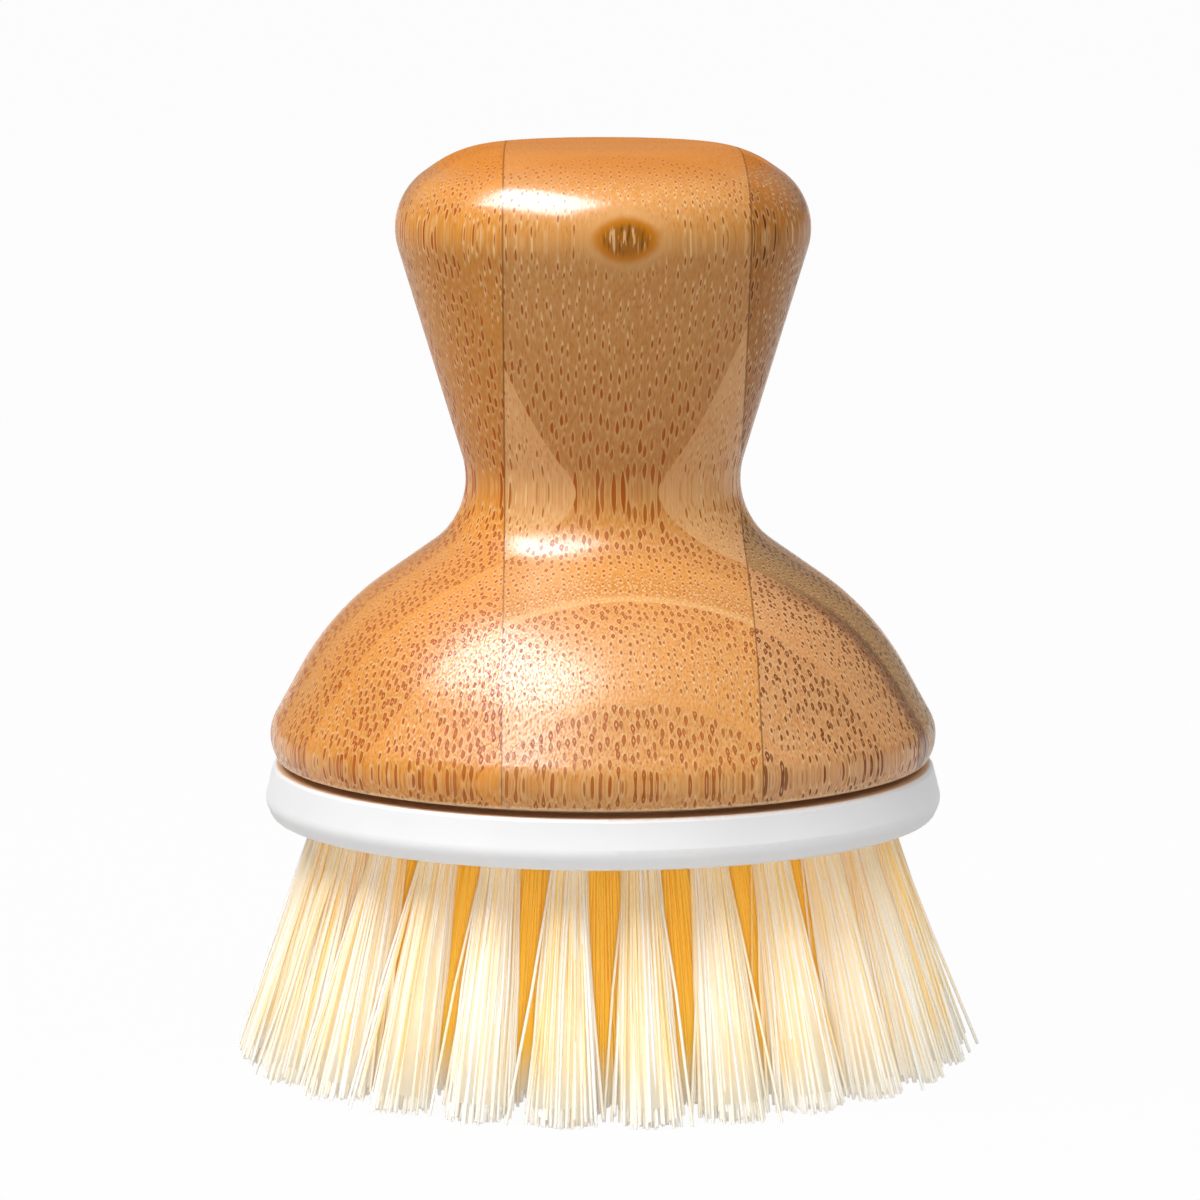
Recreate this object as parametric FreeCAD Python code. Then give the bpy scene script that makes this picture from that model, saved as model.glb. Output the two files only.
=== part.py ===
import FreeCAD, Part
import math
import os

# Palm brush: a turned knob of laminated bamboo on a round bristle head that twists off.
# Millimetres and degrees. +Z is up, -Y is the front, and the origin is on the bench,
# under the middle of the bristles.

# Bristle field
bristle_length = 26.0       # from the block's underside to the trimmed tips
tuft_ring_count = 4         # rings round the centre tuft
tuft_ring_turn = 4.0        # first tuft of each ring, round from the right-hand side
tuft_edge_margin = 7.4      # from the rim's widest line in to the outer ring of holes
tuft_fan_angle = 15.0       # outward lean of the outer ring
tuft_tip_gap = 0.5          # least gap between neighbouring tufts at the tips
tuft_hole_radius = 2.1
tuft_hole_depth = 7.0
tuft_fit = 0.05             # tuft to hole
tuft_collar_margin = 0.25   # straight length below the hole's mouth, before the tuft flares
strand_count = 9            # strands of bristle that show round a tuft
strand_furrow = 0.8         # depth of the furrows between them, at the tips

# Metal anchor that each tuft is folded over
anchor_thickness = 0.4
anchor_height = 1.8
anchor_bite = 0.25          # how far each end cuts into the hole's wall
anchor_fold_depth = 1.2     # folded bristle between the anchor and the hole's floor

# Brush block
rim_radius = 36.0           # widest line
rim_height = 5.2            # underside to the top of the rim
rim_bevel_height = 1.6      # underside to the widest line
rim_bevel_inset = 0.7
rim_slope_inset = 0.9       # the rim leans in by this much towards its top
rim_rounding = 0.45
rim_belly_rounding = 1.8    # of the widest line
core_wall = 2.0             # outside the outer ring of holes
core_rounding = 0.8
hole_floor = 2.4            # plastic left above the tuft holes

# Twist lock between the head and the handle
spigot_radius = 9.3
spigot_wall = 2.4
spigot_rounding = 0.6
lug_count = 3
lug_angle = 30.0
lug_reach = 2.0
lug_height = 2.4
lug_lift = 5.8              # core to the lugs' lower face
lug_root = 0.5              # how far a lug runs into the spigot's wall
twist_angle = 60.0          # from locked to the entry slots
stop_slack = 1.0            # locked lug to its stop, in degrees
slot_slack = 3.0            # each side of a lug in its entry slot, in degrees
head_clearance = 0.3        # head to handle, all round
parting_gap = 0.7           # open line between the rim and the bamboo

# Socket in the handle and its screws
barrel_wall = 1.9
barrel_roof = 1.6
flange_thickness = 2.2
flange_margin = 0.6         # outside the screw heads
screw_margin = 0.6          # screw heads to the barrel
socket_fit = 0.1            # socket to bamboo
screw_count = 3
screw_head_radius = 2.8
screw_head_height = 1.6
screw_radius = 1.45
screw_length = 12.0
screw_point_length = 3.0
screw_drive_width = 0.7     # cross recess
screw_drive_reach = 1.5
screw_drive_depth = 0.9
screw_fit = 0.1             # screw to flange and to bamboo

# Outline of the handle, from its base up: corners, with the rounding of each
handle_setback = 0.5        # bamboo edge inside the rim's top edge
base_rounding = 0.5
bulge_rise = 2.7
bulge_overhang = 1.3        # beyond the base's edge
bulge_rounding = 4.2
dome_rise = 12.5
dome_radius = 29.0
dome_rounding = 29.0
neck_rise = 11.2
neck_radius = 13.15
neck_rounding = 8.4
knob_rise = 32.75
knob_radius = 23.1
knob_rounding = 7.2
crown_rise = 5.85
crown_radius = 14.7
crown_rounding = 12.0

# Lamination of the handle: layers of strips, three strips across
grain_turn = 6.0            # the layers' front faces turn this far to the right
strip_thickness = 8.8
layer_offset = 5.1          # first glue plane in front of the axis
middle_strip_width = 24.5
middle_strip_offset = 1.95  # middle of the middle strips, to the right of the axis
left_joint_skew = -6.0      # of each glue joint from square to the layers
right_joint_skew = -2.4
shaving_size = 3.9          # a shaving smaller than a cube of this size stays on the next strip

# Levels and sizes worked out from the values above
underside_level = bristle_length
widest_level = underside_level + rim_bevel_height
rim_level = underside_level + rim_height
base_level = rim_level + parting_gap
neck_level = base_level + bulge_rise + dome_rise + neck_rise
core_level = underside_level + tuft_hole_depth + hole_floor
seat_level = core_level + head_clearance
lug_level = core_level + lug_lift
spigot_level = lug_level + lug_height
roof_level = spigot_level + head_clearance
barrel_level = roof_level + barrel_roof
handle_height = bulge_rise + dome_rise + neck_rise + knob_rise + crown_rise
rim_top_radius = rim_radius - rim_slope_inset
base_radius = rim_top_radius - handle_setback
outer_ring_radius = rim_radius - tuft_edge_margin
ring_pitch = outer_ring_radius / tuft_ring_count
fan_step = math.radians(tuft_fan_angle / tuft_ring_count)
outer_lean = math.radians(tuft_fan_angle)
hole_drift = rim_height * math.tan(outer_lean)
core_radius = outer_ring_radius - hole_drift + tuft_hole_radius / math.cos(outer_lean) + core_wall
lug_radius = spigot_radius + lug_reach
groove_radius = lug_radius + head_clearance
barrel_radius = groove_radius + barrel_wall
screw_circle = barrel_radius + screw_margin + screw_head_radius
flange_radius = screw_circle + screw_head_radius + flange_margin
full_turn = 360.0
origin = FreeCAD.Vector(0, 0, 0)
up = FreeCAD.Vector(0, 0, 1)


def roundings_that_fit(points, roundings):
    """Tangent length of each rounded corner, with two that would meet on a run shrunk to share it."""
    count = len(points)
    tangents = []
    for index in range(count):
        before = points[index - 1] - points[index]
        after = points[(index + 1) % count] - points[index]
        tangents.append(roundings[index] / math.tan(before.getAngle(after) / 2))
    shares = [1.0] * count
    for index in range(count):
        follower = (index + 1) % count
        wanted = tangents[index] + tangents[follower]
        run = (points[follower] - points[index]).Length
        if wanted > run:
            shares[index] = min(shares[index], run / wanted)
            shares[follower] = min(shares[follower], run / wanted)
    return [tangent * share for tangent, share in zip(tangents, shares)]


def turned(corners):
    """Solid of revolution about Z from (radius, height, rounding) corners."""
    points = [FreeCAD.Vector(radius, 0, height) for radius, height, rounding in corners]
    tangents = roundings_that_fit(points, [rounding for radius, height, rounding in corners])
    edges = []
    first_start = None
    last_end = None
    for index, corner in enumerate(points):
        before = (points[index - 1] - corner).normalize()
        after = (points[(index + 1) % len(points)] - corner).normalize()
        start = corner + before * tangents[index]
        end = corner + after * tangents[index]
        if last_end is None:
            first_start = start
        elif (start - last_end).Length > Part.Precision.confusion():
            edges.append(Part.LineSegment(last_end, start).toShape())
        if tangents[index] > 0:
            half = before.getAngle(after) / 2
            depth = tangents[index] * (1 / math.cos(half) - math.tan(half))
            middle = corner + (before + after).normalize() * depth
            edges.append(Part.Arc(start, middle, end).toShape())
        last_end = end
    edges.append(Part.LineSegment(last_end, first_start).toShape())
    return Part.Face(Part.Wire(edges)).revolve(origin, up, full_turn)


def upright(radius, low, high):
    """Cylinder on the Z axis between two levels."""
    return Part.makeCylinder(radius, high - low, up * low)


def ring_sector(inner, outer, low, high, start, sweep):
    """Part of a ring about Z, from the angle start through sweep degrees."""
    ring = Part.makeCylinder(outer, high - low, up * low, up, sweep)
    bore = Part.makeCylinder(inner, high - low, up * low, up, full_turn)
    sector = ring.cut(bore)
    sector.rotate(origin, up, start)
    return sector


def around(shape, count, start=0.0):
    """Copies of a shape, evenly spaced about Z."""
    copies = []
    for index in range(count):
        copy = shape.copy()
        copy.rotate(origin, up, start + index * full_turn / count)
        copies.append(copy)
    return copies


def tufts_in(ring):
    """Number of tufts in a ring: as many as keep the pitch of the rings."""
    return max(1, round(2 * math.pi * ring))


def tip_circle(ring):
    """Radius of the circle that a ring's tips are centred on."""
    return ring * ring_pitch + bristle_length * math.tan(ring * fan_step)


def tip_radius():
    """Half of the least space between neighbouring tips, less their gap."""
    spaces = [tip_circle(1)]
    for ring in range(1, tuft_ring_count + 1):
        spaces.append(2 * tip_circle(ring) * math.sin(math.pi / tufts_in(ring)))
        spaces.append(tip_circle(ring) - tip_circle(ring - 1))
    return (min(spaces) - tuft_tip_gap) / 2


def leaned(shape, ring):
    """A shape made about the axis of a tuft, up from its hole's mouth, set on the first hole of a ring."""
    placed = shape.copy()
    placed.rotate(origin, FreeCAD.Vector(0, 1, 0), -math.degrees(ring * fan_step))
    placed.translate(FreeCAD.Vector(ring * ring_pitch, 0, underside_level))
    return placed


def anchor(ring):
    """Flat anchor across the end of the first hole of a ring."""
    length = 2 * (tuft_hole_radius + anchor_bite)
    level = tuft_hole_depth - anchor_fold_depth - anchor_height
    corner = FreeCAD.Vector(-anchor_thickness / 2, -length / 2, level)
    return leaned(Part.makeBox(anchor_thickness, length, anchor_height, corner), ring)


def strand_outline(centre, radius):
    """Level outline round the strands of a tuft: an arc for each, meeting its neighbours in furrows."""
    furrow_radius = radius * (1 - strand_furrow / tip_radius())
    half_step = math.pi / strand_count
    across = FreeCAD.Vector(1, 0, 0)
    along = FreeCAD.Vector(0, 1, 0)
    arcs = []
    for strand in range(strand_count):
        points = []
        for reach, place in ((furrow_radius, -1), (radius, 0), (furrow_radius, 1)):
            angle = (2 * strand + place) * half_step
            points.append(centre + across * (reach * math.cos(angle)) + along * (reach * math.sin(angle)))
        arcs.append(Part.Arc(*points).toShape())
    return Part.Wire(arcs)


def tuft(ring):
    """First tuft of a ring: folded over its anchor in the hole, its strands flaring below to level tips."""
    root = tuft_hole_radius - tuft_fit
    collar_level = underside_level - tuft_collar_margin
    collar_drift = tuft_collar_margin * math.tan(ring * fan_step)
    collar = FreeCAD.Vector(ring * ring_pitch + collar_drift, 0, collar_level)
    tips = FreeCAD.Vector(tip_circle(ring), 0, 0)
    outlines = [strand_outline(tips, tip_radius()), strand_outline(collar, root - tuft_fit)]
    strands = Part.makeLoft(outlines, True, True)
    reach = 2 * rim_radius
    above_collar = Part.makeBox(2 * reach, 2 * reach, reach, FreeCAD.Vector(-reach, -reach, collar_level))
    fold = leaned(upright(root, -2 * tuft_hole_radius, tuft_hole_depth - tuft_fit), ring)
    return fold.common(above_collar).fuse(strands).cut(anchor(ring))


def tuft_holes():
    """Cutters for every hole in the block, each with the seat of its anchor."""
    cutters = []
    for ring in range(tuft_ring_count + 1):
        mouth = FreeCAD.Vector(0, 0, -2 * tuft_hole_radius)
        bore = Part.makeCylinder(tuft_hole_radius, tuft_hole_depth + 2 * tuft_hole_radius, mouth)
        cutters += around(leaned(bore, ring), tufts_in(ring), tuft_ring_turn)
        cutters += around(anchor(ring), tufts_in(ring), tuft_ring_turn)
    return cutters


def brush_block():
    """White moulding: rim, raised core with the tuft holes, and hollow spigot with lugs."""
    spigot_bore = spigot_radius - spigot_wall
    body = turned([
        (0, underside_level, 0),
        (rim_radius - rim_bevel_inset, underside_level, rim_rounding),
        (rim_radius, widest_level, rim_belly_rounding),
        (rim_top_radius, rim_level, rim_rounding),
        (core_radius, rim_level, 0),
        (core_radius, core_level, core_rounding),
        (spigot_radius, core_level, 0),
        (spigot_radius, spigot_level, spigot_rounding),
        (spigot_bore, spigot_level, 0),
        (spigot_bore, core_level, 0),
        (0, core_level, 0),
    ])
    lug = ring_sector(spigot_radius - lug_root, lug_radius, lug_level, lug_level + lug_height,
                      -lug_angle / 2, lug_angle)
    body = body.fuse(around(lug, lug_count))
    return body.cut(tuft_holes()).removeSplitter()


def screw_blank(slack):
    """Countersunk screw without its drive, head down on the XY plane, grown by a slack."""
    head = screw_head_radius + slack
    shank = screw_radius + slack
    return turned([
        (0, 0, 0),
        (head, 0, 0),
        (shank, screw_head_height, 0),
        (shank, screw_length - screw_point_length, 0),
        (0, screw_length + slack, 0),
    ])


def at_screws(shape):
    """Copies of a shape made on the XY plane, set at the screws of the socket."""
    placed = shape.copy()
    placed.translate(FreeCAD.Vector(screw_circle, 0, seat_level))
    return around(placed, screw_count)


def socket_screws():
    """Countersunk screws, with a cross recess in each head."""
    screw = screw_blank(0.0)
    half_width = screw_drive_width / 2
    for along, beside in ((screw_drive_reach, half_width), (half_width, screw_drive_reach)):
        corner = FreeCAD.Vector(-along, -beside, 0)
        screw = screw.cut(Part.makeBox(2 * along, 2 * beside, screw_drive_depth, corner))
    return Part.makeCompound(at_screws(screw))


def twist_socket():
    """Flanged socket: a closed barrel with a lug groove, its entry slots and a stop for each lug."""
    body = turned([
        (0, barrel_level, 0),
        (barrel_radius, barrel_level, spigot_rounding),
        (barrel_radius, seat_level + flange_thickness, 0),
        (flange_radius, seat_level + flange_thickness, 0),
        (flange_radius, seat_level, 0),
        (spigot_radius + head_clearance, seat_level, 0),
        (spigot_radius + head_clearance, roof_level, 0),
        (0, roof_level, 0),
    ])
    half_slot = lug_angle / 2 + slot_slack
    groove_start = -twist_angle - half_slot
    groove_sweep = twist_angle + half_slot + lug_angle / 2 + stop_slack
    groove = ring_sector(spigot_radius, groove_radius, lug_level - head_clearance, roof_level,
                         groove_start, groove_sweep)
    slot = ring_sector(spigot_radius, groove_radius, seat_level, roof_level, groove_start, 2 * half_slot)
    cutters = around(groove, lug_count) + around(slot, lug_count) + at_screws(screw_blank(screw_fit))
    return body.cut(cutters).removeSplitter()


def bamboo_blank():
    """The whole turned handle, with its recess for the head, its socket bore and its screw holes."""
    base = (base_radius, base_level, base_rounding)
    bulge = (base_radius + bulge_overhang, base[1] + bulge_rise, bulge_rounding)
    dome = (dome_radius, bulge[1] + dome_rise, dome_rounding)
    neck = (neck_radius, dome[1] + neck_rise, neck_rounding)
    knob = (knob_radius, neck[1] + knob_rise, knob_rounding)
    crown = (crown_radius, knob[1] + crown_rise, crown_rounding)
    blank = turned([(0, base_level, 0), base, bulge, dome, neck, knob, crown, (0, crown[1], 0)])
    cutters = [
        upright(core_radius + head_clearance, base_level, seat_level),
        upright(flange_radius + socket_fit, base_level, seat_level + flange_thickness),
        upright(barrel_radius + socket_fit, base_level, barrel_level + socket_fit),
    ]
    return blank.cut(cutters + at_screws(screw_blank(screw_fit)))


def layers_out_to(reach):
    """Front and back glue planes of each layer by side and number, outermost last."""
    back_face = layer_offset - strip_thickness
    layers = {("core", 0): (layer_offset, back_face)}
    for number in range(1, math.ceil((reach - layer_offset) / strip_thickness) + 1):
        far_face = layer_offset + number * strip_thickness
        layers["front", number] = (far_face, far_face - strip_thickness)
    for number in range(1, math.ceil((reach + back_face) / strip_thickness) + 1):
        far_face = back_face - number * strip_thickness
        layers["back", number] = (far_face + strip_thickness, far_face)
    return layers


def lamination_point(across, out):
    """A point given across the layers' faces and out towards the front, in the part's frame."""
    turn = math.radians(grain_turn)
    x = across * math.cos(turn) + out * math.sin(turn)
    y = across * math.sin(turn) - out * math.cos(turn)
    return FreeCAD.Vector(x, y, base_level)


def strip_cell(left, right, front, back):
    """Upright block between two glue joints, each (place, skew), and two glue planes."""
    corners = []
    for joint, out in ((left, front), (right, front), (right, back), (left, back)):
        place, skew = joint
        corners.append(lamination_point(place + out * math.tan(math.radians(skew)), out))
    outline = Part.makePolygon(corners + corners[:1])
    return Part.Face(outline).extrude(up * handle_height)


def leave_shavings(outer, inner):
    """Two neighbouring layers' solids, with each shaving of the outer layer left on the inner one."""
    limit = shaving_size ** 3
    touch = Part.Precision.confusion()
    whole = [solid for solid in outer if solid.Volume >= limit]
    shavings = [solid for solid in outer if solid.Volume < limit]
    grown = []
    for solid in inner:
        touching = [shaving for shaving in shavings if solid.distToShape(shaving)[0] < touch]
        if touching:
            solid = solid.fuse(touching).removeSplitter().Solids[0]
        grown.append(solid)
    return whole, grown


def strips_between(blank, left, right, layers):
    """Solids of each layer between two glue joints, by side and number."""
    strips = {}
    for layer, (front, back) in layers.items():
        strips[layer] = blank.common(strip_cell(left, right, front, back)).Solids
    for side, number in reversed(list(layers)):
        if number > 0:
            inner = (side, number - 1) if number > 1 else ("core", 0)
            strips[side, number], strips[inner] = leave_shavings(strips[side, number], strips[inner])
    return strips


def strip_ends(name, solids):
    """A strip by name, with its upper end as a piece of its own where the waist has parted it."""
    lower = [solid for solid in solids if solid.CenterOfMass.z < neck_level]
    upper = [solid for solid in solids if solid.CenterOfMass.z >= neck_level]
    if lower and upper:
        return {name: Part.makeCompound(lower), f"{name}_knob": Part.makeCompound(upper)}
    return {name: Part.makeCompound(solids)} if solids else {}


def bamboo_strips():
    """Every strip of the handle by name, numbered out from the core layer."""
    blank = bamboo_blank()
    reach = base_radius + bulge_overhang
    layers = layers_out_to(reach)
    left_joint = (middle_strip_offset - middle_strip_width / 2, left_joint_skew)
    right_joint = (middle_strip_offset + middle_strip_width / 2, right_joint_skew)
    joints = [(-2 * reach, 0.0), left_joint, right_joint, (2 * reach, 0.0)]
    nodes = {}
    for column, left, right in zip(("left", "middle", "right"), joints, joints[1:]):
        for (side, number), solids in strips_between(blank, left, right, layers).items():
            name = f"{side}_{column}_strip_{number}" if number else f"{side}_{column}_strip"
            nodes.update(strip_ends(name, solids))
    return nodes


def tuft_rings():
    """Each ring of tufts by name, from the centre out."""
    rings = {"centre_tuft": around(tuft(0), tufts_in(0), tuft_ring_turn)[0]}
    for ring in range(1, tuft_ring_count + 1):
        tufts = around(tuft(ring), tufts_in(ring), tuft_ring_turn)
        rings[f"tuft_ring_{ring}"] = Part.makeCompound(tufts)
    return rings


def tuft_anchors():
    """All the anchors, one in each tuft."""
    anchors = []
    for ring in range(tuft_ring_count + 1):
        anchors += around(anchor(ring), tufts_in(ring), tuft_ring_turn)
    return Part.makeCompound(anchors)


def main():
    os.makedirs("parts", exist_ok=True)
    nodes = bamboo_strips()
    nodes["twist_socket"] = twist_socket()
    nodes["socket_screws"] = socket_screws()
    nodes["brush_block"] = brush_block()
    nodes["tuft_anchors"] = tuft_anchors()
    nodes.update(tuft_rings())
    for name, shape in nodes.items():
        shape.exportStep(f"parts/{name}.step")


main()
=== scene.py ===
import math
import random

import bmesh
import bpy
from mathutils import Matrix, Vector


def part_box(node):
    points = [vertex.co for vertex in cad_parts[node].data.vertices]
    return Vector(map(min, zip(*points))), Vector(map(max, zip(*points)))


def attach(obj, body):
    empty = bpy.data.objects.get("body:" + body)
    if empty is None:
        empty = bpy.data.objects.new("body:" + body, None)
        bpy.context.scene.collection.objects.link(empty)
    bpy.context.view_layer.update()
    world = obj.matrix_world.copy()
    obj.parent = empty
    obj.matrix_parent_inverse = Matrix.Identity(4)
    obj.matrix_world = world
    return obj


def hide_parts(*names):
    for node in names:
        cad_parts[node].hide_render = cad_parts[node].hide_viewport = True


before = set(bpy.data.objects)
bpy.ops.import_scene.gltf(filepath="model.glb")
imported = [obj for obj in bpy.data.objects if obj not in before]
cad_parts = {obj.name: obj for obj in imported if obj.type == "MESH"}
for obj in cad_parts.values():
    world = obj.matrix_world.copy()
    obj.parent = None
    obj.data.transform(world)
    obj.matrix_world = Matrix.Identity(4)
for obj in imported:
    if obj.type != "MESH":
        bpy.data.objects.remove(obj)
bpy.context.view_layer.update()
mm = 0.001

# Bamboo strips: lengths in millimetres, angles in radians
grain_turn = math.radians(6.0)
strip_thickness = 8.8
first_glue_plane = 5.1
left_joint = (-10.3, math.radians(-6.0))
right_joint = (14.2, math.radians(-2.4))
glue_line = (0.14, 0.03)
knot_strip = "front_middle_strip_2"
knot_across, knot_level = 2.34, 88.5
knot_half_width, knot_half_height = 3.35, 2.28
stained_strips = ("front_right_strip_1", "front_right_strip_2")
stain_plane = 14.3
stain_fade = (2.3, 0.3)
stain_across = (13, 24)

# Heights between which the handle's look changes, in millimetres, from none to full
base_edge = (32.4, 32.1)
polish_rise = (49, 55)
dome_gloss = (58, 55.5)
bundle_eyes = (60, 52)
below_waist = (62, 58)
bundle_taper = (60, 72)
painted_shade_foot = (58, 66)
painted_shade_head = (91, 86)
straw_end = (74, 86)
knob_gloss_foot = (89, 91.5)
knob_gloss_head = (95.5, 94)
top_tan = (92.5, 96.0)
top_matt = (93, 96)

# A strip that ends above this height, in millimetres, reaches the knob
knob_strip_reach = 60.0

# Brush head, in millimetres and radians
seat_edge = (34.95, 34.5)
seat_level = (30.9, 31.1)
underside = 26.0
ring_pitch = 7.15
ring_lean = math.radians(3.75)
ring_turn = math.radians(4.0)
outer_ring = 4
tufts_in_ring = {"centre_tuft": (0, 1), "tuft_ring_1": (1, 6), "tuft_ring_2": (2, 13), "tuft_ring_3": (3, 19),
                 "tuft_ring_4": (outer_ring, 25)}
outer_filaments = 250
inner_filaments = 150
filament_radius = 0.165
root_spread = 1.85
tip_spread = 3.35
root_length = 2.0
tip_level = 0.1
tip_unevenness = 1.25
tip_drift = 0.22
filament_bend = 0.16
loose_share = 0.1
loose_splay = (1.25, 1.75)
heart_length = 23.0
heart_middle = 13.5
heart_root_radius = 1.6
heart_tip_radius = 3.2

# Bamboo colours
honey = (0.80, 0.350, 0.085, 1)
amber = (0.82, 0.320, 0.050, 1)
tan = (0.74, 0.345, 0.130, 1)
toffee = (0.52, 0.172, 0.013, 1)
straw = (0.84, 0.440, 0.170, 1)
# painted shade: a greyed, darker tone for a strip on the shaded right side
painted_shade_olive = (0.47, 0.245, 0.075, 1)
fibre_pale = (0.92, 0.60, 0.28, 1)
pith_orange = (0.58, 0.20, 0.022, 1)
skin_peach = (0.82, 0.44, 0.165, 1)
stain_umber = (0.16, 0.075, 0.04, 1)
painted_shade_brown = (0.42, 0.21, 0.080, 1)
top_brown = (0.50, 0.145, 0.006, 1)
glue_brown = (0.17, 0.050, 0.003, 1)
bare_edge_painted_light = (0.90, 0.64, 0.37, 1)
knot_rim = (0.60, 0.190, 0.001, 1)
knot_heart = (0.34, 0.120, 0.008, 1)
knot_dark = (0.14, 0.045, 0.003, 1)
knot_pale = (0.85, 0.52, 0.26, 1)

# Ground colour of each strip that shows at the front
strip_tones = {
    "core_left_strip": amber,
    "core_middle_strip": honey,
    "core_right_strip": tan,
    "front_left_strip_1": amber,
    "front_left_strip_2": amber,
    "front_left_strip_2_knob": amber,
    "front_left_strip_3": amber,
    "front_middle_strip_1": straw,
    "front_middle_strip_2": honey,
    "front_middle_strip_3": honey,
    "front_middle_strip_4": honey,
    # this strip takes the painted shade tone of the shaded side
    "front_right_strip_1": painted_shade_olive,
    "front_right_strip_1_knob": toffee,
    "front_right_strip_2": tan,
    "front_right_strip_3": tan,
}

# Fibre bundles by column: pitch in millimetres, depths between which they shrink, tint of the ground colour
bundles = {
    "left": (0.74, (0.3, 0.95), (0.60, 0.30, 0.02)),
    "middle": (0.82, (0.12, 0.7), (0.58, 0.30, 0.02)),
    "right": (0.78, (0.2, 0.9), (0.32, 0.17, 0.06)),
}
speck_pitch = 0.34
spark_pitch = 0.46

# Plastic, steel and nylon colours
white_shade = (0.885, 0.885, 0.89, 1)
white_light = (0.91, 0.91, 0.915, 1)
bamboo_reflection_painted = (0.78, 0.48, 0.26, 1)
socket_shade = (0.60, 0.60, 0.58, 1)
socket_light = (0.70, 0.70, 0.68, 1)
nylon_cream = (0.90, 0.79, 0.57, 1)
nylon_milk = (0.91, 0.91, 0.895, 1)
nylon_honey = (0.92, 0.72, 0.44, 1)
nylon_root_painted_shade = (0.92, 0.62, 0.28, 1)
nylon_glow_amber_painted = (1.0, 0.62, 0.065, 1)
nylon_tip = (0.90, 0.86, 0.78, 1)


class Value:
    """A node's output socket, with arithmetic that adds Math nodes."""

    def __init__(self, finish, socket):
        self.finish = finish
        self.socket = socket

    def __add__(self, other):
        return self.finish.math("ADD", self, other)

    def __radd__(self, other):
        return self.finish.math("ADD", other, self)

    def __sub__(self, other):
        return self.finish.math("SUBTRACT", self, other)

    def __rsub__(self, other):
        return self.finish.math("SUBTRACT", other, self)

    def __mul__(self, other):
        return self.finish.math("MULTIPLY", self, other)

    def __rmul__(self, other):
        return self.finish.math("MULTIPLY", other, self)

    def __truediv__(self, other):
        return self.finish.math("DIVIDE", self, other)

    def __abs__(self):
        return self.finish.math("ABSOLUTE", self)

    def step(self, start, end):
        """Smooth rise from 0 where the value is start to 1 where it is end."""
        sockets = {"Value": self, "From Min": start, "From Max": end, "To Min": 0.0, "To Max": 1.0}
        return self.finish.node("ShaderNodeMapRange", {"interpolation_type": "SMOOTHSTEP"}, sockets)


class Finish:
    """The node tree of a material or of the world."""

    def __init__(self, owner):
        owner.use_nodes = True
        self.owner = owner
        self.tree = owner.node_tree

    def node(self, kind, settings, sockets, output=0):
        """A new node: its settings first, then the values or links of its sockets."""
        made = self.tree.nodes.new(kind)
        for name, setting in settings.items():
            setattr(made, name, setting)
        self.fill(made, sockets)
        return Value(self, made.outputs[output])

    def fill(self, node, sockets):
        """Sets or links a node's input sockets."""
        for key, value in sockets.items():
            if isinstance(value, Value):
                self.tree.links.new(value.socket, node.inputs[key])
            else:
                node.inputs[key].default_value = value

    def math(self, operation, *values):
        return self.node("ShaderNodeMath", {"operation": operation}, dict(enumerate(values)))

    def larger(self, first, second):
        return self.math("MAXIMUM", first, second)

    def length(self, across, along):
        return self.math("SQRT", across * across + along * along)

    def mix(self, share, first, second):
        """Blend of two colours."""
        return self.node("ShaderNodeMix", {"data_type": "RGBA"}, {0: share, 6: first, 7: second}, 2)

    def vector(self, across, along, up):
        return self.node("ShaderNodeCombineXYZ", {}, {0: across, 1: along, 2: up})

    def place(self):
        """The three Object coordinates, in millimetres."""
        here = self.node("ShaderNodeTexCoord", {}, {}, "Object")
        scaled = self.node("ShaderNodeVectorMath", {"operation": "SCALE"}, {0: here, "Scale": 1 / mm})
        split = self.node("ShaderNodeSeparateXYZ", {}, {0: scaled})
        return [Value(self, socket) for socket in split.socket.node.outputs]

    def noise(self, vector, scale, detail=2.0, dimensions="3D"):
        sockets = {"Vector": vector, "Scale": scale, "Detail": detail}
        return self.node("ShaderNodeTexNoise", {"noise_dimensions": dimensions}, sockets)

    def cells(self, vector, pitch, randomness):
        """Points scattered a pitch apart: distance from the nearest, its own number, and the way from it."""
        sockets = {"Vector": vector, "Scale": 1 / pitch, "Randomness": randomness}
        near = self.node("ShaderNodeTexVoronoi", {"voronoi_dimensions": "2D"}, sockets, "Distance")
        outputs = near.socket.node.outputs
        lot = self.node("ShaderNodeSeparateColor", {}, {0: Value(self, outputs["Color"])})
        middle = Value(self, outputs["Position"])
        way = self.node("ShaderNodeVectorMath", {"operation": "SUBTRACT"}, {0: vector, 1: middle})
        aside = self.node("ShaderNodeSeparateXYZ", {}, {0: way})
        return near * pitch, lot, aside, Value(self, aside.socket.node.outputs["Y"])

    def bump(self, height, depth, strength):
        sockets = {"Height": height, "Distance": depth * mm, "Strength": strength}
        return self.node("ShaderNodeBump", {}, sockets)

    def surface(self, sockets):
        """Fills the material's own shader."""
        self.fill(self.tree.nodes["Principled BSDF"], sockets)
        return self.owner


def new_finish(name):
    return Finish(bpy.data.materials.new(name))


def strip_back(name):
    """Distance of a strip's back glue plane in front of the axis."""
    words = name.removesuffix("_knob").split("_")
    side, number = words[0], words[-1]
    if side == "core":
        return first_glue_plane - strip_thickness
    if side == "front":
        return first_glue_plane + (int(number) - 1) * strip_thickness
    return first_glue_plane - (int(number) + 1) * strip_thickness


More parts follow.
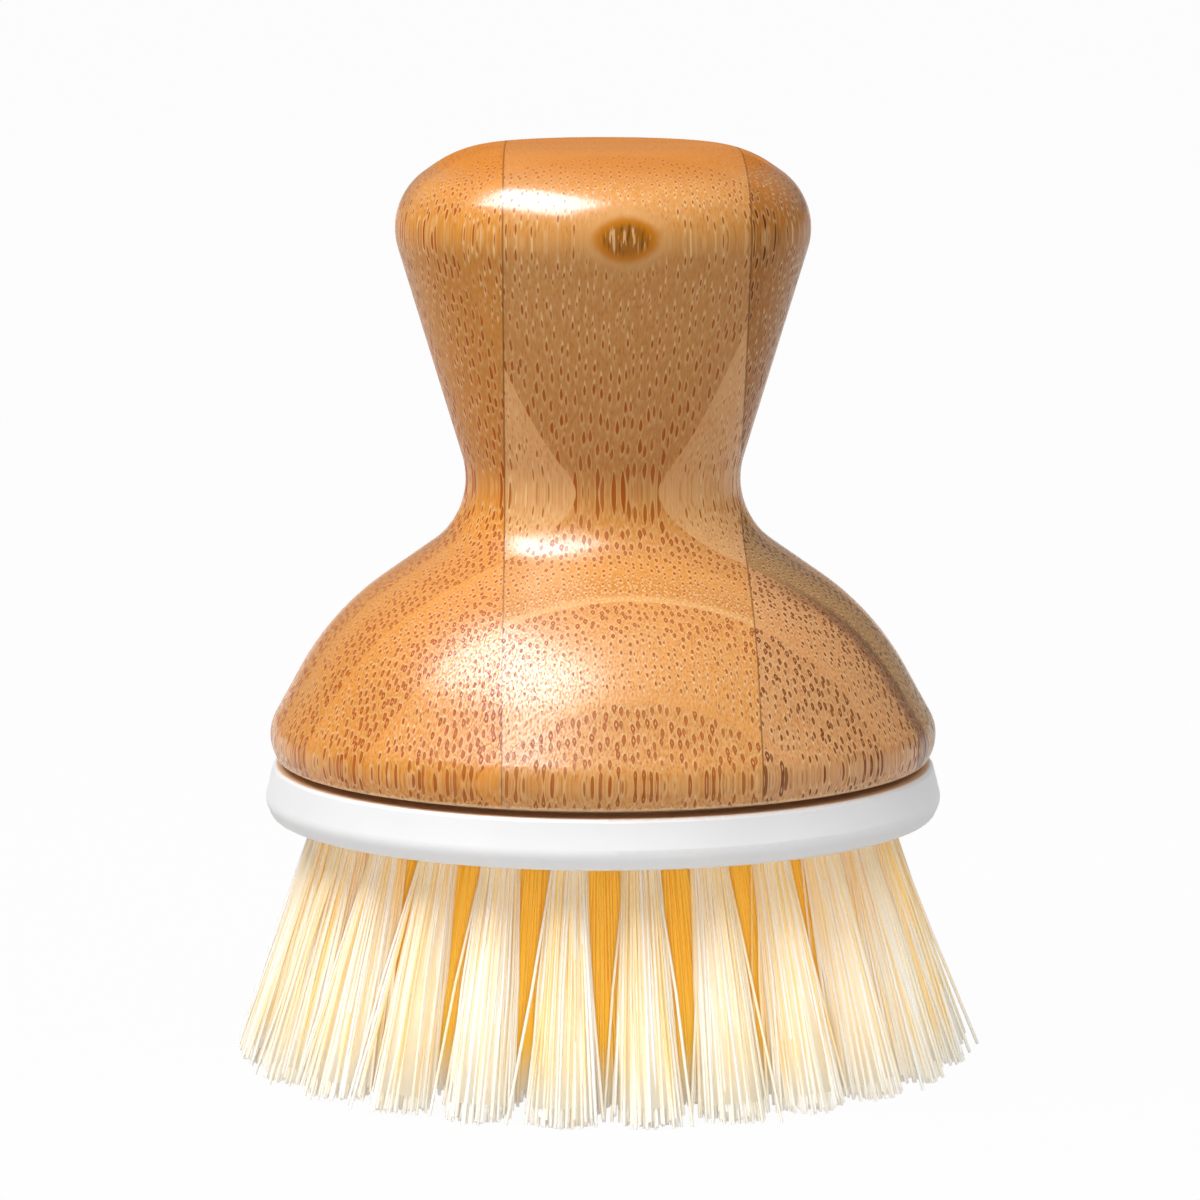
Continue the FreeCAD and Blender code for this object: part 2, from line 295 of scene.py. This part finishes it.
class Bamboo(Finish):
    """The finish of one strip, with the places and patterns that its parts share."""

    def __init__(self, name):
        super().__init__(bpy.data.materials.new(f"bamboo_{name}"))
        chance = random.Random(name)
        self.name = name
        self.column = next(column for column in bundles if column in name)
        self.x, y, self.z = self.place()
        self.point = self.vector(self.x, y, self.z)
        self.across = self.x * math.cos(grain_turn) + y * math.sin(grain_turn)
        self.out = self.x * math.sin(grain_turn) - y * math.cos(grain_turn)
        self.depth = self.math("FRACT", (self.out - strip_back(name)) / strip_thickness)
        if self.column == "left":
            self.depth = 1 - self.depth
        self.wander = self.noise(self.point, 0.22, 1.0) - 0.5
        shift_across, shift_out = chance.uniform(20, 90), chance.uniform(20, 90)
        self.section = self.vector(self.across + 0.5 * self.wander + shift_across,
                                   self.out - 0.4 * self.wander + shift_out, 0.0)
        self.grain = self.noise(self.section, 4.5, 3.0, "2D")
        self.streak = self.noise(self.vector(self.across, self.out, self.z * 0.05), 1.1, 3.0)
        self.mottle = self.noise(self.point, 0.07, 2.0)
        self.tone = strip_tones.get(name, chance.choice((honey, amber, tan, toffee, straw)))

    def fibre_bundles(self):
        """Dark and pale: drops with a pale eye near the inner face, dots with a pale cap further out."""
        pitch, shrink, _ = bundles[self.column]
        _, lot, aside, ahead = self.cells(self.section, pitch, 0.65)
        if self.column == "left":
            ahead = -1 * ahead
        within = self.depth.step(1.0, 0.86)
        taper = 1 - 0.28 * self.z.step(*bundle_taper)
        size = (0.225 - 0.105 * self.depth.step(*shrink) + 0.06 * (lot - 0.5)) * taper
        pointed = aside * (1 + 3.5 * self.larger(ahead, 0.0))
        edge = size - self.length(pointed, 0.8 * ahead)
        body = edge.step(-0.02, 0.03) * (0.75 + 0.25 * lot) * within
        halo = edge.step(-0.24, -0.03) * (1 - body) * within
        eye_edge = size - 0.16 - self.length(aside, ahead + 0.05)
        eye = eye_edge.step(-0.03, 0.02) * lot.step(0.5, 0.8) * self.z.step(*bundle_eyes)
        cap = self.length(aside, 0.7 * (ahead - 0.2)).step(0.14, 0.05) * self.depth.step(0.2, 0.5) * within
        fine, fine_lot, *_ = self.cells(self.section, speck_pitch, 0.95)
        specks = fine.step(0.10, 0.05) * within * fine_lot * 0.5
        dark = self.larger(body * (1 - 0.75 * eye), specks)
        pale = self.larger(0.5 * eye, 0.6 * cap + 0.32 * halo)
        return dark, pale

    def bundle_colour(self):
        tint = bundles[self.column][2]
        return tuple(value * share for value, share in zip(self.tone, tint)) + (1,)

    def ground_colour(self):
        """Wood between the bundles: clouded and streaked, with painted shade browning the neck and the knob's
        flanks.
        """
        deep = tuple(0.93 * value for value in self.tone[:3]) + (1,)
        ground = self.mix(self.depth.step(0.0, 0.9), deep, self.tone)
        if self.tone == straw:
            ground = self.mix(self.z.step(*straw_end), ground, honey)
        shade = 1.1 * (self.grain - 0.5) + 0.6 * (self.streak - 0.5) + 0.4 * (self.mottle - 0.5)
        ground = self.mix((-1 * shade).step(0.0, 0.4) * 0.7, ground, pith_orange)
        ground = self.mix(shade.step(0.0, 0.4) * 0.35, ground, fibre_pale)
        # painted shade: browner on the neck and the knob's flanks, which face down or lie under the knob
        if self.tone != straw:
            ground = self.mix(self.z.step(*painted_shade_foot) * self.z.step(*painted_shade_head) * 0.32, ground, painted_shade_brown)
        return ground

    def rich_band(self, ground, pale):
        """Below the waist, a deep band with pale sparks near the outer face, and a peach skin on it."""
        below = self.z.step(*below_waist)
        rich = self.depth.step(0.5, 0.78) * below
        sparkle, *_ = self.cells(self.section, spark_pitch, 0.9)
        ground = self.mix(rich * 0.5, ground, pith_orange)
        pale = self.larger(pale, rich * sparkle.step(0.16, 0.06) * 0.7)
        skin = self.depth.step(0.86, 0.96) * below
        return self.mix(skin * 0.8, ground, skin_peach), pale

    def knot(self):
        """Distance from the middle of the knot, 1 at its edge, and the streaks inside it."""
        ragged = self.noise(self.vector(self.x, 0.0, self.z), 0.9) - 0.5
        aside = (self.x - knot_across) / knot_half_width
        above = (self.z - knot_level) / knot_half_height
        reach = self.length(aside, above * (1 + 0.15 * aside * aside)) + 0.16 * ragged
        streaks = self.noise(self.vector(self.x, 0.0, self.z * 0.1), 3.2)
        return reach, streaks

    def knot_colour(self, wood, reach, streaks):
        inside = reach.step(0.85, 0.5)
        wood = self.mix(reach.step(1.2, 0.8) * 0.97, wood, knot_rim)
        wood = self.mix(inside * 0.75, wood, knot_heart)
        wood = self.mix(inside * streaks.step(0.48, 0.40) * 0.8, wood, knot_dark)
        return self.mix(inside * streaks.step(0.56, 0.61) * 0.8, wood, knot_pale)

    def stain(self):
        """A dark streak along one layer, stronger to the right."""
        ragged = self.out + 1.6 * self.wander + 2.4 * (self.streak - 0.5)
        return abs(ragged - stain_plane).step(*stain_fade) * self.across.step(*stain_across)

    def edges(self, wood):
        """Deeper colour on the top, glue in the joints, and bare wood at the base, painted lighter where its
        rounded corner is in shade.
        """
        wood = self.mix(self.z.step(*top_tan) * 0.65, wood, top_brown)
        for place, skew in (left_joint, right_joint):
            line = abs(self.across - self.out * math.tan(skew) - place)
            wood = self.mix(line.step(*glue_line) * (0.35 + 0.6 * self.mottle), wood, glue_brown)
        fuzz = self.noise(self.point, 2.5)
        # bare pale wood at the base, also painted lighter to lift the shade on its rounded corner
        return self.mix((self.z + 0.7 * (fuzz - 0.5)).step(*base_edge) * 0.85, wood, bare_edge_painted_light)

    def varnished(self, wood, dark, pale):
        """The shader: glossy on the dome and on the knob's shoulder, with pores in the varnish."""
        polish = self.z.step(*polish_rise)
        shoulder = self.z.step(*knob_gloss_foot) * self.z.step(*knob_gloss_head)
        gloss = self.larger(shoulder, self.z.step(*dome_gloss))
        pores = (1 - self.grain.step(0.38, 0.54)) * (1 - 0.55 * polish)
        rough = 0.40 - 0.15 * polish + 0.2 * dark + 0.12 * (self.grain - 0.5) + 0.25 * self.z.step(*top_matt)
        height = (0.45 * self.grain - 0.6 * dark + 0.5 * pale) * (1.5 - 0.8 * polish)
        in_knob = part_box(self.name)[1][2] > knob_strip_reach * mm
        return self.surface({
            "Base Color": wood,
            "Roughness": rough,
            "Specular IOR Level": 0.18 if self.column == "middle" else 0.06,
            "Coat Weight": (0.04 + 0.96 * gloss) * (1 - 0.9 * pores) * (1 - 0.5 * dark),
            "Coat Roughness": 0.20 if in_knob else 0.29,
            "Coat IOR": 1.55,
            "Normal": self.bump(height, 0.12, 0.6),
        })


def bamboo(name):
    """Varnished bamboo of one strip: fibre bundles up it, large on its inner face, fine on its outer."""
    strip = Bamboo(name)
    dark, pale = strip.fibre_bundles()
    ground = strip.ground_colour()
    if name == knot_strip:
        ground, pale = strip.rich_band(ground, pale)
        reach, streaks = strip.knot()
        clear = reach.step(1.25, 1.9)
        dark = dark * clear
        pale = pale * clear
        ground = strip.mix(reach.step(1.8, 1.1) * 0.45, ground, skin_peach)
    if name in stained_strips:
        stain = strip.stain()
        ground = strip.mix(stain * 0.75, ground, stain_umber)
        dark = strip.larger(dark, 0.3 * stain)
    wood = strip.mix(pale, ground, fibre_pale)
    wood = strip.mix(dark, wood, strip.bundle_colour())
    if name == knot_strip:
        wood = strip.knot_colour(wood, reach, streaks)
    return strip.varnished(strip.edges(wood), dark, pale)


def white_plastic():
    """Satin white moulding with a faint cloud in its gloss, and the bamboo's brown reflection painted on the
    seat under the handle.
    """
    finish = new_finish("white_plastic")
    x, y, z = finish.place()
    point = finish.vector(x, y, z)
    cloud = finish.noise(point, 0.09, 3.0)
    fine = finish.noise(point, 6.0, 2.0)
    white = finish.mix(cloud.step(0.3, 0.7), white_shade, white_light)
    # painted reflection: the bamboo's brown bounce light painted on the block's seat under the handle
    reflected_seat = finish.length(x, y).step(*seat_edge) * z.step(*seat_level)
    return finish.surface({
        "Base Color": finish.mix(reflected_seat * 0.9, white, bamboo_reflection_painted),
        "Roughness": 0.34 + 0.14 * cloud,
        "Specular IOR Level": 0.2,
        "Normal": finish.bump(fine, 0.01, 0.25),
    })


def socket_plastic():
    """Pale grey moulding, a little mottled."""
    finish = new_finish("socket_plastic")
    x, y, z = finish.place()
    cloud = finish.noise(finish.vector(x, y, z), 0.3, 3.0)
    return finish.surface({
        "Base Color": finish.mix(cloud, socket_shade, socket_light),
        "Roughness": 0.42 + 0.16 * cloud,
    })


def steel(name, light, stretch):
    """Bright steel with fine marks drawn out along the height."""
    finish = new_finish(name)
    x, y, z = finish.place()
    marks = finish.noise(finish.vector(x, y, z * stretch), 4.0, 3.0)
    shade = (0.55 * light, 0.55 * light, 0.54 * light, 1)
    return finish.surface({
        "Base Color": finish.mix(marks, shade, (light, light, light, 1)),
        "Roughness": 0.24 + 0.2 * marks,
        "Metallic": 1.0,
    })


def nylon():
    """Cream filaments, each its own shade, with an amber glow painted where they stand deep in the head and a
    warm shade painted near the roots, paler at the cut tips.
    Their faint glow stands in for the light that passes through them."""
    finish = new_finish("bristle_nylon")
    x, y, z = finish.place()
    tone = finish.node("ShaderNodeAttribute", {"attribute_name": "tone"}, {}, "Fac")
    deep = finish.node("ShaderNodeAttribute", {"attribute_name": "deep"}, {}, "Fac")
    along = finish.noise(finish.vector(x, y, z * 0.2), 0.8, 2.0)
    shade = finish.mix(tone, nylon_cream, nylon_milk)
    shade = finish.mix(along.step(0.45, 0.75) * 0.2, shade, nylon_honey)
    # painted shade: warmer, deeper colour near the roots, under the brush block
    shade = finish.mix(z.step(10.0, 24.0) * 0.4, shade, nylon_root_painted_shade)
    # painted glow: amber for the light passing through filaments that stand deep among the others
    shade = finish.mix(deep * z.step(0.5, 7.0), shade, nylon_glow_amber_painted)
    shade = finish.mix(z.step(1.6, 0.1) * 0.6, shade, nylon_tip)
    return finish.surface({
        "Base Color": shade,
        "Roughness": 0.34 + 0.12 * along,
        "Emission Color": shade,
        "Emission Strength": 0.12,
    })


def filament(chance, ring, spread, angle, stray):
    """Points of one filament of a ring's first tuft, from inside its hole down to its tip."""
    lean = ring * ring_lean
    down = Vector((math.sin(lean), 0, -math.cos(lean)))
    mouth = Vector((ring * ring_pitch, 0, underside))
    sideways = Vector((math.cos(angle), math.sin(angle), 0))
    root = mouth + sideways * root_spread * spread
    splay = tip_spread * spread * chance.uniform(0.9, 1.06) * stray
    drift = Vector((chance.gauss(0, tip_drift), chance.gauss(0, tip_drift), 0)) * stray
    tip = mouth + down * underside / math.cos(lean) + sideways * splay + drift
    tip.z = tip_unevenness * chance.random() ** 2 + tip_level
    bend = Vector((chance.gauss(0, filament_bend), chance.gauss(0, filament_bend), 0))
    middle = root.lerp(tip, 0.5) + bend
    return [root - root_length * down, root, middle, tip]


def tuft_turn(tuft, count, size):
    """Rotation of a ring's first tuft to the place of another."""
    return Matrix.Rotation(ring_turn + tuft * 2 * math.pi / count, size, "Z")


def ring_filaments(node, ring, count, per_tuft):
    """Mesh of all the filaments of a ring of tufts, each with its tone and how deep in the head it stands,
    which sets its painted amber glow.
    """
    chance = random.Random(node)
    curve = bpy.data.curves.new(node, "CURVE")
    curve.dimensions = "3D"
    curve.bevel_depth = filament_radius * mm
    curve.bevel_resolution = 0
    curve.use_fill_caps = True
    tones = []
    depths = []
    for tuft in range(count):
        turn = tuft_turn(tuft, count, 3)
        lighter = chance.gauss(0, 0.07)
        for number in range(per_tuft):
            spread = ((number + 0.5) / per_tuft) ** 0.42
            angle = number * math.pi * (3 - math.sqrt(5)) + chance.gauss(0, 0.12)
            loose = chance.random() < loose_share and abs(math.sin(angle)) > 0.5
            stray = chance.uniform(*loose_splay) if loose else 1.0
            points = filament(chance, ring, spread, angle, stray)
            spline = curve.splines.new("POLY")
            spline.points.add(len(points) - 1)
            for place, point in zip(spline.points, points):
                place.co = (*(turn @ point * mm), 1)
            inward = 0.5 - 0.5 * spread * math.cos(angle)
            tones.append(min(1, max(0, chance.gauss(0.62, 0.22) + lighter)))
            # share of painted amber glow: full on the inner rings, on the outer ring more on the filaments
            # facing inward
            depths.append(0.95 if ring < outer_ring else min(0.95, max(0, 1.2 * inward - 0.5)))
    holder = bpy.data.objects.new(node, curve)
    bpy.context.scene.collection.objects.link(holder)
    bpy.context.view_layer.update()
    mesh = bpy.data.meshes.new_from_object(holder.evaluated_get(bpy.context.evaluated_depsgraph_get()))
    bpy.data.objects.remove(holder)
    each = len(mesh.vertices) // len(tones)
    for name, values in (("tone", tones), ("deep", depths)):
        attribute = mesh.attributes.new(name, "FLOAT", "POINT")
        attribute.data.foreach_set("value", [value for value in values for _ in range(each)])
    return mesh


def add_hearts(mesh, ring, count):
    """Fills the middle of each tuft, where the filaments stand too close to be told apart."""
    shell = bmesh.new()
    shell.from_mesh(mesh)
    tone = shell.verts.layers.float["tone"]
    deep = shell.verts.layers.float["deep"]
    lean = ring * ring_lean
    middle = Vector((ring * ring_pitch + heart_middle * math.tan(lean), 0, underside - heart_middle))
    for tuft in range(count):
        stand = tuft_turn(tuft, count, 4) @ Matrix.Translation(middle * mm) @ Matrix.Rotation(-lean, 4, "Y")
        heart = bmesh.ops.create_cone(shell, cap_ends=True, segments=12, radius1=heart_tip_radius * mm,
                                      radius2=heart_root_radius * mm, depth=heart_length * mm, matrix=stand)
        for vertex in heart["verts"]:
            vertex[tone] = 0.3
            # inner hearts take the full painted amber glow, outer ones a little
            vertex[deep] = 0.2 if ring == outer_ring else 1.0
    shell.to_mesh(mesh)
    shell.free()


def tuft_piece(node, ring, count, finish):
    """A ring of tufts as one piece of the brush head."""
    mesh = ring_filaments(node, ring, count, outer_filaments if ring == outer_ring else inner_filaments)
    add_hearts(mesh, ring, count)
    mesh.shade_smooth()
    mesh.materials.clear()
    mesh.materials.append(finish)
    piece = bpy.data.objects.new(f"{node}_filaments", mesh)
    bpy.context.scene.collection.objects.link(piece)
    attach(piece, "brush_head")
    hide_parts(node)


def dress(node, finish):
    """Gives a CAD node its finish."""
    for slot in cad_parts[node].material_slots:
        slot.material = finish


def make_floor():
    """White floor that keeps the brush's shadow."""
    bpy.ops.mesh.primitive_plane_add(size=30)
    floor = bpy.context.object
    floor.name = "floor"
    finish = new_finish("floor_white")
    finish.surface({"Base Color": (0.5, 0.5, 0.5, 1), "Roughness": 0.9, "Specular IOR Level": 0.1})
    plain = Value(finish, finish.tree.nodes["Principled BSDF"].outputs[0])
    glow = finish.node("ShaderNodeEmission", {}, {"Color": (1, 1, 1, 1), "Strength": 1.0})
    shown = finish.node("ShaderNodeLightPath", {}, {}, "Is Camera Ray")
    rays = shown.socket.node.outputs
    for kind in ("Is Glossy Ray", "Is Transmission Ray"):
        shown = finish.larger(shown, Value(finish, rays[kind]))
    blend = finish.node("ShaderNodeMixShader", {}, {0: shown * 0.97, 1: plain, 2: glow})
    finish.fill(finish.tree.nodes["Material Output"], {"Surface": blend})
    floor.data.materials.append(finish.owner)


def make_world():
    """Soft light from all round."""
    finish = Finish(bpy.context.scene.world or bpy.data.worlds.new("surroundings"))
    bpy.context.scene.world = finish.owner
    finish.fill(finish.tree.nodes["Background"], {"Color": (1, 1, 1, 1), "Strength": 0.25})


def softbox(name, direction, distance, size, power, target=(0, 0, 0.055), spread=180):
    """Rectangular lamp that faces a point of the brush: metres, watts and degrees."""
    target = Vector(target)
    lamp = bpy.data.lights.new(name, "AREA")
    lamp.shape = "RECTANGLE"
    lamp.size, lamp.size_y = size
    lamp.energy = power
    lamp.spread = math.radians(spread)
    holder = bpy.data.objects.new(name, lamp)
    bpy.context.scene.collection.objects.link(holder)
    offset = Vector(direction).normalized() * distance
    holder.location = target + offset
    holder.rotation_euler = offset.to_track_quat("Z", "Y").to_euler()
    return holder


def make_lamps():
    """A key lamp, its cool reflection, a lamp from the upper right and a narrow one on the bristles."""
    upper_left = (-0.43, -0.28, 0.86)
    upper_right = (0.42, -0.28, 0.86)
    front = (0.0, -1.0, 0.02)
    bristle_middle = (0, 0, 0.011)
    softbox("key_softbox", upper_left, distance=0.75, size=(0.62, 0.36), power=5.4)
    gloss = softbox("gloss_softbox", upper_left, distance=0.76, size=(0.70, 0.40), power=8.5)
    gloss.data.color = (0.80, 0.96, 1.2)
    gloss.visible_diffuse = False
    top = softbox("top_softbox", upper_right, distance=0.9, size=(0.9, 0.7), power=3.4)
    top.visible_glossy = False
    strip = softbox("bristle_strip", front, distance=0.5, size=(0.18, 0.02), power=0.0061,
                    target=bristle_middle, spread=6)
    strip.visible_glossy = False


def make_camera():
    """Camera at the photograph's height, distance and lens."""
    distance = 0.6053
    pitch = math.radians(8.2)
    aside = -0.00032
    aim_level = 0.0485
    data = bpy.data.cameras.new("camera")
    data.lens = 171.0
    data.sensor_width = 36.0
    camera = bpy.data.objects.new("camera", data)
    bpy.context.scene.collection.objects.link(camera)
    camera.location = (aside, -distance * math.cos(pitch), aim_level + distance * math.sin(pitch))
    camera.rotation_euler = (math.pi / 2 - pitch, 0, 0)
    bpy.context.scene.camera = camera


def main():
    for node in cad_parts:
        if "_strip" in node:
            dress(node, bamboo(node))
    dress("brush_block", white_plastic())
    dress("twist_socket", socket_plastic())
    dress("socket_screws", steel("screw_steel", light=0.75, stretch=0.3))
    dress("tuft_anchors", steel("anchor_steel", light=0.68, stretch=2.0))
    bristles = nylon()
    for node, (ring, count) in tufts_in_ring.items():
        tuft_piece(node, ring, count, bristles)
    make_floor()
    make_world()
    make_lamps()
    make_camera()
    bpy.context.scene.view_settings.view_transform = "Standard"


main()
